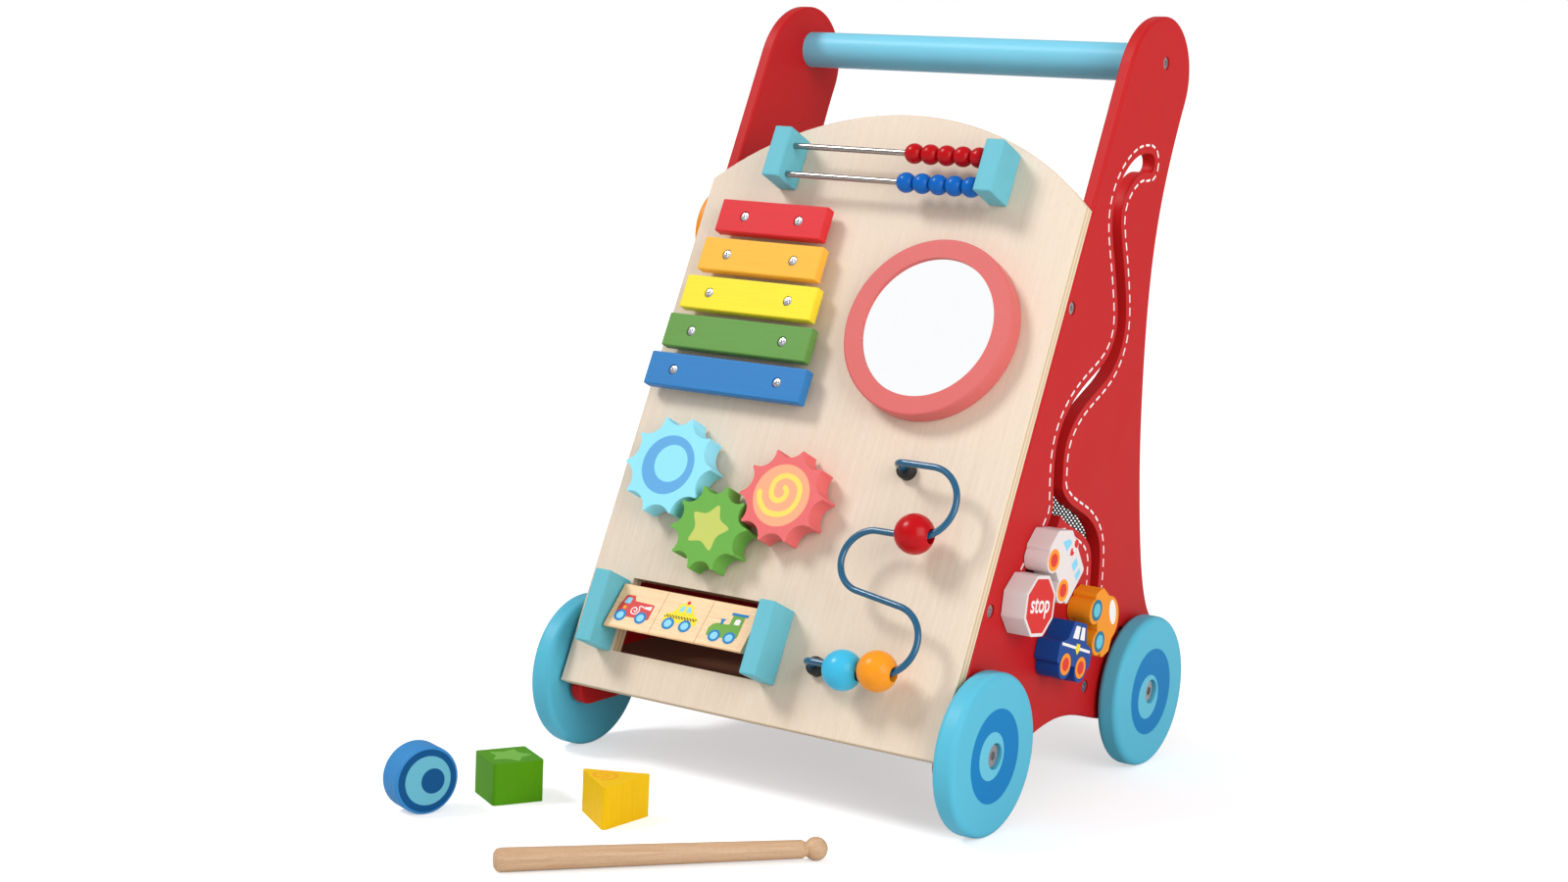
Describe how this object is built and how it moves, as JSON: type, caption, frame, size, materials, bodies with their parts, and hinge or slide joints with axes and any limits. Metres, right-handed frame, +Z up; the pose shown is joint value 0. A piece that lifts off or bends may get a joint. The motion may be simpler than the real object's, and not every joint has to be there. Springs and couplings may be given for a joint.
{
  "type": "baby walker",
  "caption": "Wooden push-along walker with a slanted activity board of abacus, xylophone, gears, mirror, bead wire and picture blocks between two side panels on wheels.",
  "frame": {"origin": "on the floor, midway between the four wheels", "axes": "+Z up; -Y towards the side with the activity board; +Y towards the child who pushes; +X to the right when the board is looked at from the front"},
  "size_m": [0.3166, 0.5075, 0.4915],
  "materials": {
    "red_paint": "satin paint over board",
    "birch_ply": "clear matt lacquer",
    "light_blue_paint": "satin paint",
    "brown_board": "matt stain",
    "blue_paint": "satin paint",
    "green_paint": "satin paint",
    "yellow_paint": "satin paint",
    "orange_paint": "satin paint",
    "white_paint": "satin paint",
    "navy_paint": "satin paint",
    "natural_wood": "clear lacquer",
    "net_fabric": "printed weave",
    "zinc_screw": "zinc plated",
    "bright_rod": "polished",
    "mirror_glass": "mirror",
    "black_rubber": "matt",
    "clear_plastic": "matt",
    "blue_wire": "gloss coating"
  },
  "bodies": {
    "frame": {"left_panel": "red_paint", "right_panel": "red_paint", "handle_bar": "light_blue_paint", "cross_rails": "red_paint", "bottom_shelf": "brown_board", "rear_rail": "red_paint", "storage_net": "net_fabric", "frame_screws": "zinc_screw", "wheel_bolts": "zinc_screw", "wheel_washers": "clear_plastic", "activity_board": "birch_ply", "abacus_blocks": "light_blue_paint", "abacus_rods": "bright_rod", "xylophone_screws": "zinc_screw", "xylophone_spacers": "clear_plastic", "xylophone_bar_blue": "blue_paint", "xylophone_bar_green": "green_paint", "xylophone_bar_yellow": "yellow_paint", "xylophone_bar_orange": "orange_paint", "xylophone_bar_red": "red_paint", "mirror_ring": "red_paint", "mirror": "mirror_glass", "gear_pins": "natural_wood", "roller_blocks": "light_blue_paint", "roller_rod": "bright_rod", "bead_wire": "blue_wire", "wire_caps": "black_rubber", "dial_screw": "zinc_screw"},
    "wheel_front_left": {"wheel_front_left": "light_blue_paint"},
    "wheel_rear_left": {"wheel_rear_left": "light_blue_paint"},
    "wheel_front_right": {"wheel_front_right": "light_blue_paint"},
    "wheel_rear_right": {"wheel_rear_right": "light_blue_paint"},
    "gear_green": {"gear_green": "green_paint"},
    "gear_blue": {"gear_blue": "light_blue_paint"},
    "gear_red": {"gear_red": "red_paint"},
    "abacus_bead_blue_1": {"abacus_bead_blue_1": "blue_paint"},
    "abacus_bead_blue_2": {"abacus_bead_blue_2": "blue_paint"},
    "abacus_bead_blue_3": {"abacus_bead_blue_3": "blue_paint"},
    "abacus_bead_blue_4": {"abacus_bead_blue_4": "blue_paint"},
    "abacus_bead_blue_5": {"abacus_bead_blue_5": "blue_paint"},
    "abacus_bead_red_1": {"abacus_bead_red_1": "red_paint"},
    "abacus_bead_red_2": {"abacus_bead_red_2": "red_paint"},
    "abacus_bead_red_3": {"abacus_bead_red_3": "red_paint"},
    "abacus_bead_red_4": {"abacus_bead_red_4": "red_paint"},
    "abacus_bead_red_5": {"abacus_bead_red_5": "red_paint"},
    "picture_block_1": {"picture_block_1": "natural_wood"},
    "picture_block_2": {"picture_block_2": "natural_wood"},
    "picture_block_3": {"picture_block_3": "natural_wood"},
    "maze_bead_red": {"maze_bead_red": "red_paint"},
    "maze_bead_orange": {"maze_bead_orange": "orange_paint"},
    "maze_bead_light_blue": {"maze_bead_light_blue": "light_blue_paint"},
    "vehicle_ambulance": {"vehicle_ambulance": "white_paint"},
    "vehicle_stop_sign": {"vehicle_stop_sign": "white_paint"},
    "vehicle_orange_car": {"vehicle_orange_car": "orange_paint"},
    "vehicle_police_car": {"vehicle_police_car": "navy_paint"},
    "dial": {"dial": "orange_paint"},
    "round_block": {"round_block": "blue_paint"},
    "square_block": {"square_block": "green_paint"},
    "triangle_block": {"triangle_block": "yellow_paint"},
    "mallet": {"mallet": "natural_wood"}
  },
  "joints": [
    {"name": "wheel_front_left_spin", "type": "hinge", "parent": "frame", "child": "wheel_front_left", "pos_m": [-0.1508, -0.1055, 0.05], "axis": [1, 0, 0], "continuous": true},
    {"name": "wheel_rear_left_spin", "type": "hinge", "parent": "frame", "child": "wheel_rear_left", "pos_m": [-0.1508, 0.1055, 0.05], "axis": [1, 0, 0], "continuous": true},
    {"name": "wheel_front_right_spin", "type": "hinge", "parent": "frame", "child": "wheel_front_right", "pos_m": [0.1508, -0.1055, 0.05], "axis": [1, 0, 0], "continuous": true},
    {"name": "wheel_rear_right_spin", "type": "hinge", "parent": "frame", "child": "wheel_rear_right", "pos_m": [0.1508, 0.1055, 0.05], "axis": [1, 0, 0], "continuous": true},
    {"name": "gear_green_spin", "type": "hinge", "parent": "frame", "child": "gear_green", "pos_m": [-0.0508, -0.10095, 0.15379], "axis": [0, -0.9081, 0.4187], "continuous": true},
    {"name": "gear_blue_spin", "type": "hinge", "parent": "frame", "child": "gear_blue", "pos_m": [-0.095, -0.08579, 0.18667], "axis": [0, -0.9081, 0.4187], "continuous": true},
    {"name": "gear_red_spin", "type": "hinge", "parent": "frame", "child": "gear_red", "pos_m": [-0.0042, -0.08927, 0.17913], "axis": [0, -0.9081, 0.4187], "continuous": true},
    {"name": "abacus_bead_blue_1_slide", "type": "slide", "parent": "frame", "child": "abacus_bead_blue_1", "axis": [1, 0, 0], "range_m": [-0.0858, 0]},
    {"name": "abacus_bead_blue_2_slide", "type": "slide", "parent": "frame", "child": "abacus_bead_blue_2", "axis": [1, 0, 0], "range_m": [-0.0858, 0]},
    {"name": "abacus_bead_blue_3_slide", "type": "slide", "parent": "frame", "child": "abacus_bead_blue_3", "axis": [1, 0, 0], "range_m": [-0.0858, 0]},
    {"name": "abacus_bead_blue_4_slide", "type": "slide", "parent": "frame", "child": "abacus_bead_blue_4", "axis": [1, 0, 0], "range_m": [-0.0858, 0]},
    {"name": "abacus_bead_blue_5_slide", "type": "slide", "parent": "frame", "child": "abacus_bead_blue_5", "axis": [1, 0, 0], "range_m": [-0.0858, 0]},
    {"name": "abacus_bead_red_1_slide", "type": "slide", "parent": "frame", "child": "abacus_bead_red_1", "axis": [1, 0, 0], "range_m": [-0.0858, 0]},
    {"name": "abacus_bead_red_2_slide", "type": "slide", "parent": "frame", "child": "abacus_bead_red_2", "axis": [1, 0, 0], "range_m": [-0.0858, 0]},
    {"name": "abacus_bead_red_3_slide", "type": "slide", "parent": "frame", "child": "abacus_bead_red_3", "axis": [1, 0, 0], "range_m": [-0.0858, 0]},
    {"name": "abacus_bead_red_4_slide", "type": "slide", "parent": "frame", "child": "abacus_bead_red_4", "axis": [1, 0, 0], "range_m": [-0.0858, 0]},
    {"name": "abacus_bead_red_5_slide", "type": "slide", "parent": "frame", "child": "abacus_bead_red_5", "axis": [1, 0, 0], "range_m": [-0.0858, 0]},
    {"name": "picture_block_1_spin", "type": "hinge", "parent": "frame", "child": "picture_block_1", "pos_m": [-0.08965, -0.1276, 0.09836], "axis": [1, 0, 0], "continuous": true},
    {"name": "picture_block_2_spin", "type": "hinge", "parent": "frame", "child": "picture_block_2", "pos_m": [-0.05395, -0.1276, 0.09836], "axis": [1, 0, 0], "continuous": true},
    {"name": "picture_block_3_spin", "type": "hinge", "parent": "frame", "child": "picture_block_3", "pos_m": [-0.01825, -0.1276, 0.09836], "axis": [1, 0, 0], "continuous": true},
    {"name": "maze_bead_red_swing", "type": "hinge", "parent": "frame", "child": "maze_bead_red", "pos_m": [0.0975, -0.10127, 0.1949], "axis": [0, -0.9081, 0.4187], "range_deg": [0, 150]},
    {"name": "maze_bead_orange_swing", "type": "hinge", "parent": "frame", "child": "maze_bead_orange", "pos_m": [0.098, -0.13748, 0.11635], "axis": [0, -0.9081, 0.4187], "range_deg": [0, 150]},
    {"name": "maze_bead_light_blue_slide", "type": "slide", "parent": "frame", "child": "maze_bead_light_blue", "axis": [1, 0, 0], "range_m": [0, 0.01541]},
    {"name": "vehicle_ambulance_slide", "type": "slide", "parent": "frame", "child": "vehicle_ambulance", "axis": [0, 0.7198, 0.6941], "range_m": [0, 0.015]},
    {"name": "vehicle_stop_sign_slide", "type": "slide", "parent": "frame", "child": "vehicle_stop_sign", "axis": [0, 0.7198, 0.6941], "range_m": [0, 0.015]},
    {"name": "vehicle_orange_car_slide", "type": "slide", "parent": "frame", "child": "vehicle_orange_car", "axis": [0, 0.1322, 0.9912], "range_m": [0, 0.024]},
    {"name": "vehicle_police_car_slide", "type": "slide", "parent": "frame", "child": "vehicle_police_car", "axis": [0, 0.9993, 0.0363], "range_m": [0, 0.006]},
    {"name": "dial_spin", "type": "hinge", "parent": "frame", "child": "dial", "pos_m": [-0.145, 0.0245, 0.335], "axis": [1, 0, 0], "continuous": true},
    {"name": "round_block_lift", "type": "slide", "parent": "frame", "child": "round_block", "axis": [0, 0, 1], "range_m": [0, 0.12]},
    {"name": "square_block_lift", "type": "slide", "parent": "frame", "child": "square_block", "axis": [0, 0, 1], "range_m": [0, 0.12]},
    {"name": "triangle_block_lift", "type": "slide", "parent": "frame", "child": "triangle_block", "axis": [0, 0, 1], "range_m": [0, 0.12]},
    {"name": "mallet_lift", "type": "slide", "parent": "frame", "child": "mallet", "axis": [0, 0, 1], "range_m": [0, 0.12]}
  ],
  "couplings": [
    {"joint": "gear_blue_spin", "follows": "gear_green_spin", "ratio": -1},
    {"joint": "gear_red_spin", "follows": "gear_green_spin", "ratio": -1},
    {"joint": "abacus_bead_blue_2_slide", "follows": "abacus_bead_blue_1_slide", "ratio": 1},
    {"joint": "abacus_bead_blue_3_slide", "follows": "abacus_bead_blue_1_slide", "ratio": 1},
    {"joint": "abacus_bead_blue_4_slide", "follows": "abacus_bead_blue_1_slide", "ratio": 1},
    {"joint": "abacus_bead_blue_5_slide", "follows": "abacus_bead_blue_1_slide", "ratio": 1},
    {"joint": "abacus_bead_red_2_slide", "follows": "abacus_bead_red_1_slide", "ratio": 1},
    {"joint": "abacus_bead_red_3_slide", "follows": "abacus_bead_red_1_slide", "ratio": 1},
    {"joint": "abacus_bead_red_4_slide", "follows": "abacus_bead_red_1_slide", "ratio": 1},
    {"joint": "abacus_bead_red_5_slide", "follows": "abacus_bead_red_1_slide", "ratio": 1},
    {"joint": "maze_bead_light_blue_slide", "follows": "maze_bead_orange_swing", "m_per_rad": 0.005882},
    {"joint": "vehicle_stop_sign_slide", "follows": "vehicle_ambulance_slide", "ratio": 1},
    {"joint": "vehicle_police_car_slide", "follows": "vehicle_orange_car_slide", "ratio": 0.25}
  ]
}
